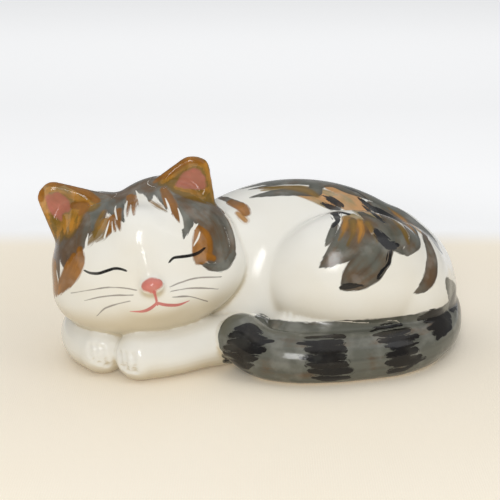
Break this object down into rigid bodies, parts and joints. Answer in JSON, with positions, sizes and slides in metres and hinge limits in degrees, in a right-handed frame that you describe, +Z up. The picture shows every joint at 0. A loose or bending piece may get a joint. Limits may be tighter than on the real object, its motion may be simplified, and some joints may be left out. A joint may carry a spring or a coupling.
{
  "type": "ceramic cat figurine",
  "caption": "Hollow glazed ceramic figurine of a cat asleep, head on its forelegs and tail wrapped round the front, standing on felt pads.",
  "frame": {"origin": "under the middle of the figurine, on the plane that the felt pads stand on", "axes": "+X from the head to the rump, +Y to the cat's back, +Z up"},
  "size_m": [0.2426, 0.139, 0.1187],
  "materials": {
    "glazed_body": "gloss, hand painted calico patches under clear glaze, unglazed foot",
    "glazed_ear": "gloss, ginger with a pink hollow",
    "glazed_tail": "gloss, grey with dark bands",
    "felt": "pressed wool felt"
  },
  "bodies": {
    "root": {"torso_casting": "glazed_body", "head_casting": "glazed_body", "left_ear": "glazed_ear", "right_ear": "glazed_ear", "left_foreleg": "glazed_body", "right_foreleg": "glazed_body", "hind_paw": "glazed_body", "tail_casting": "glazed_tail", "felt_pad_1": "felt", "felt_pad_2": "felt", "felt_pad_3": "felt", "felt_pad_4": "felt"}
  },
  "joints": []
}
